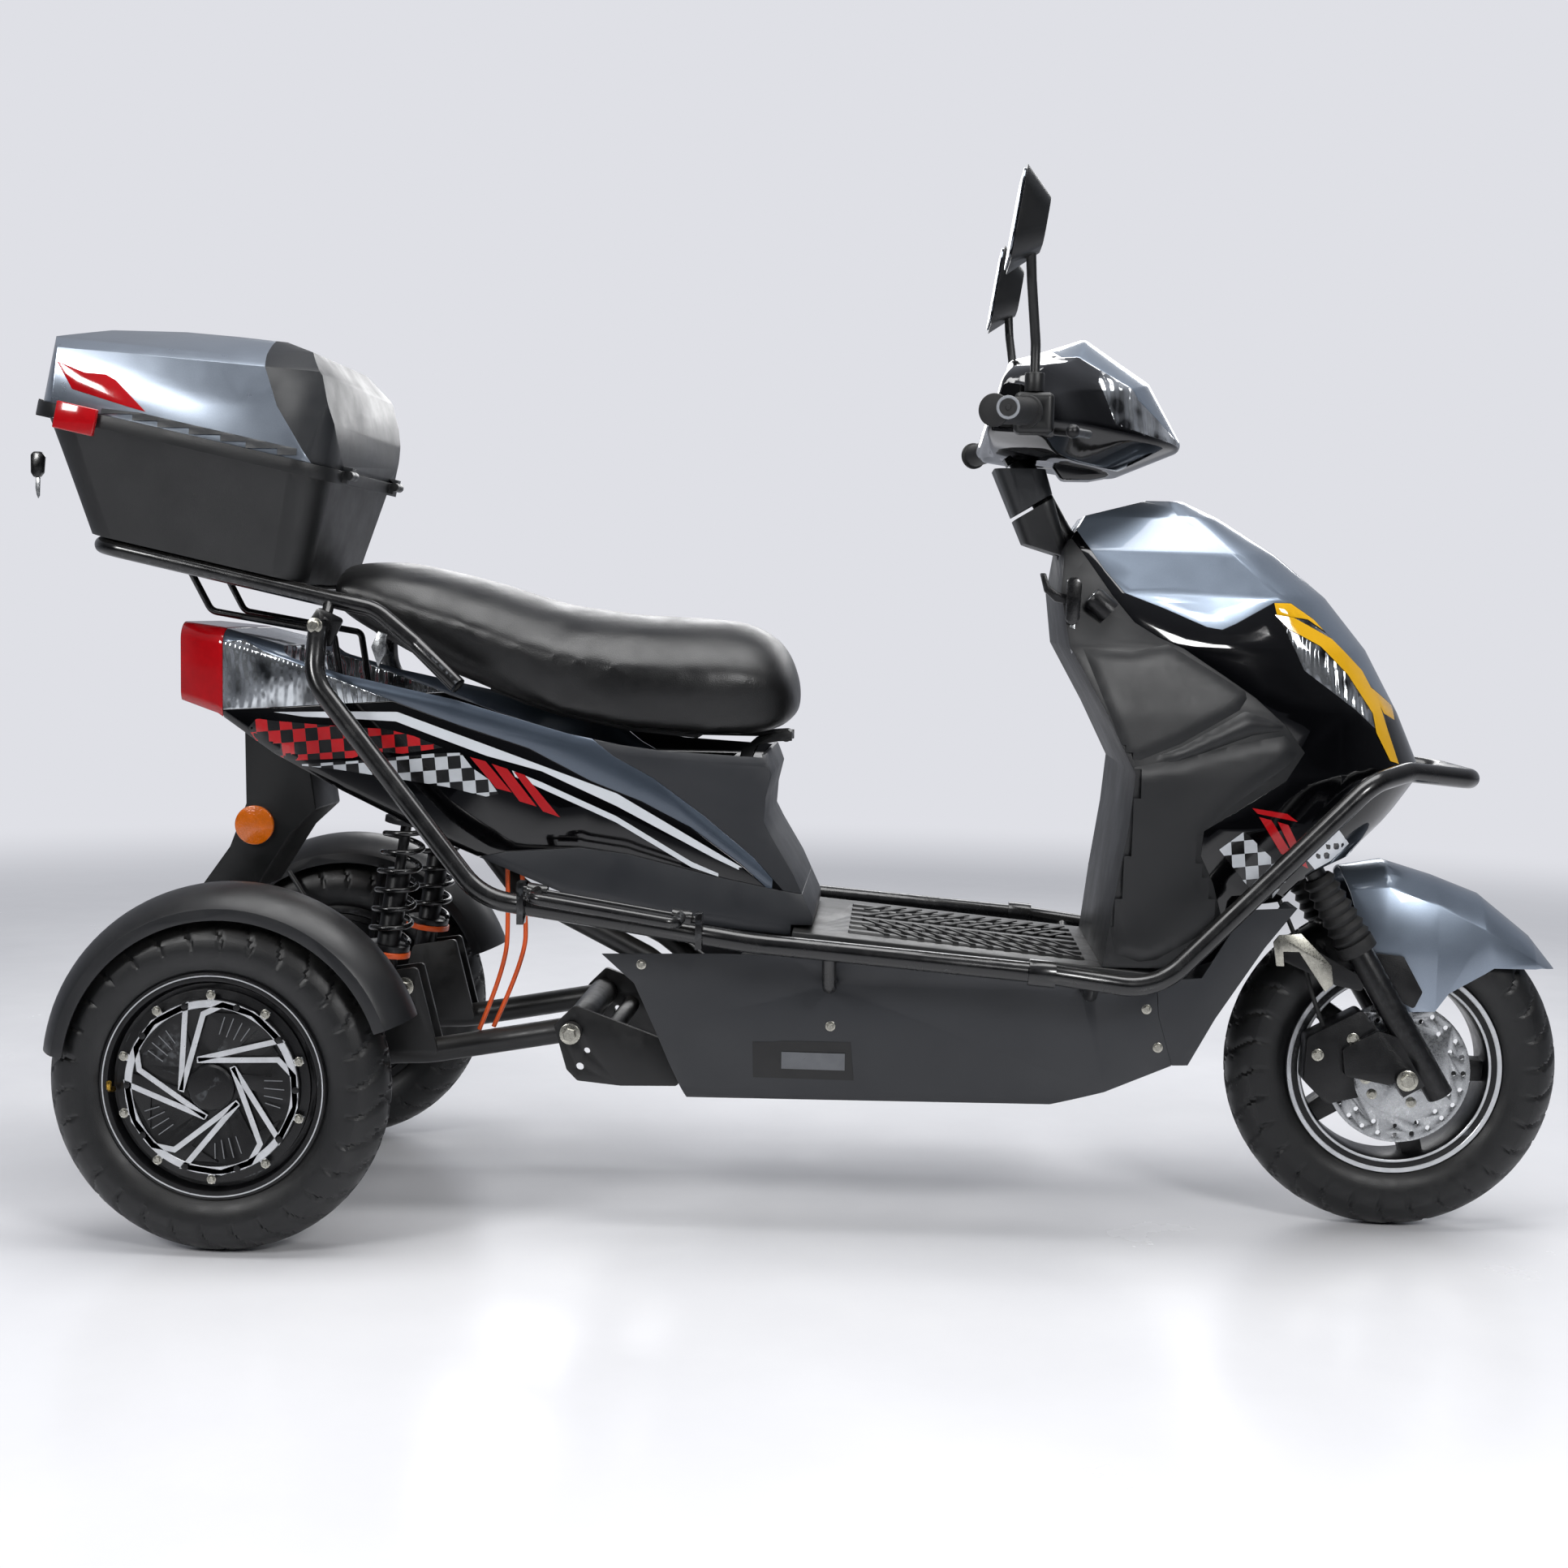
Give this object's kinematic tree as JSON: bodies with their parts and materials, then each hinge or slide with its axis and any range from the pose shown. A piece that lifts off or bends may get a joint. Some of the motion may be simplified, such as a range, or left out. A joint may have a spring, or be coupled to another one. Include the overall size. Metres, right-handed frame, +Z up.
{
  "type": "electric passenger tricycle",
  "caption": "Electric scooter-style tricycle with a bench seat, top box, leg shield, tube guards and two rear hub-motor wheels",
  "frame": {"origin": "middle of the bounding box in plan, on the ground under the wheels", "axes": "+X forward, +Y to the rider's left, +Z up"},
  "size_m": [2.0355, 0.7236, 1.3123],
  "materials": {
    "tyre_rubber": "matt",
    "silver_paint": "metallic gloss",
    "slate_paint": "metallic gloss",
    "gloss_black": "gloss",
    "matt_grey": "matt",
    "black_steel": "satin",
    "cast_alloy": "satin",
    "machined_alloy": "machined",
    "steel": "brushed",
    "chrome": "polished",
    "rubber": "matt",
    "seat_cover": "grained",
    "clear_lens": "clear",
    "red_lens": "clear gloss",
    "amber_lens": "clear gloss",
    "yellow_trim": "gloss",
    "mirror_face": "mirror",
    "orange_cable": "satin"
  },
  "bodies": {
    "root": {"main_frame": "black_steel", "swing_arm": "black_steel", "shock_bodies": "black_steel", "shock_springs": "black_steel", "spring_seats": "orange_cable", "rear_fenders": "matt_grey", "footboard": "matt_grey", "belly_panels": "matt_grey", "battery_block": "black_steel", "guard_tubes_rear": "black_steel", "guard_loop_front": "black_steel", "rear_rack": "black_steel", "tail_lamp_red": "red_lens", "tail_lens": "clear_lens", "tail_upper": "slate_paint", "tail_lower": "gloss_black", "under_seat_panel": "matt_grey", "side_skirts": "matt_grey", "seat_tray": "matt_grey", "fairing_silver": "silver_paint", "fairing_black": "gloss_black", "headlamp": "clear_lens", "headlamp_trim": "yellow_trim", "leg_shield": "matt_grey", "plate_holder": "matt_grey", "side_reflectors": "amber_lens", "box_tub": "matt_grey", "box_latches": "red_lens", "box_key": "chrome", "power_cables": "orange_cable"},
    "steering": {"fork": "black_steel", "fork_boots": "rubber", "brake_caliper": "machined_alloy", "brake_hose": "rubber", "front_mudguard": "silver_paint", "handlebar": "black_steel", "grips": "rubber", "cowl_hump": "silver_paint", "cowl_black": "gloss_black", "cowl_lamps": "clear_lens", "column_cover": "matt_grey", "brake_levers": "machined_alloy", "switch_pods": "matt_grey", "mirrors": "gloss_black", "mirror_glass": "mirror_face"},
    "front_wheel": {"front_tyre": "tyre_rubber", "front_rim": "cast_alloy", "brake_disc": "steel"},
    "rear_wheel_right": {"rear_tyre_right": "tyre_rubber", "rear_hub_motor_right": "black_steel"},
    "rear_wheel_left": {"rear_tyre_left": "tyre_rubber", "rear_hub_motor_left": "black_steel"},
    "box_lid": {"lid_silver": "silver_paint", "lid_hood": "gloss_black", "lid_reflectors": "red_lens"},
    "bench": {"seat": "seat_cover", "seat_pan": "matt_grey"},
    "rest_right": {"foot_rest_right": "black_steel"},
    "rest_left": {"foot_rest_left": "black_steel"}
  },
  "joints": [
    {"name": "steer", "type": "hinge", "parent": "root", "child": "steering", "pos_m": [0.55334, 0, 0.56785], "axis": [-0.515, 0, 0.8572], "range_deg": [-35, 35]},
    {"name": "front_wheel_spin", "type": "hinge", "parent": "steering", "child": "front_wheel", "pos_m": [0.80278, 0, 0.215], "axis": [0, 1, 0], "continuous": true},
    {"name": "rear_wheel_right_spin", "type": "hinge", "parent": "root", "child": "rear_wheel_right", "pos_m": [-0.67222, -0.29, 0.21], "axis": [0, 1, 0], "continuous": true},
    {"name": "rear_wheel_left_spin", "type": "hinge", "parent": "root", "child": "rear_wheel_left", "pos_m": [-0.67222, 0.29, 0.21], "axis": [0, 1, 0], "continuous": true},
    {"name": "box_lid_hinge", "type": "hinge", "parent": "root", "child": "box_lid", "pos_m": [-0.55786, 0, 0.95635], "axis": [0, 1, 0], "range_deg": [0, 75]},
    {"name": "bench_hinge", "type": "hinge", "parent": "root", "child": "bench", "pos_m": [-0.00222, 0, 0.632], "axis": [0, 1, 0], "range_deg": [0, 60]},
    {"name": "rest_right_fold", "type": "hinge", "parent": "root", "child": "rest_right", "pos_m": [-0.19922, -0.2715, 0.438], "axis": [-0.9889, 0, 0.1488], "range_deg": [0, 90]},
    {"name": "rest_left_fold", "type": "hinge", "parent": "root", "child": "rest_left", "pos_m": [-0.19922, 0.2715, 0.438], "axis": [0.9889, 0, -0.1488], "range_deg": [0, 90]}
  ]
}
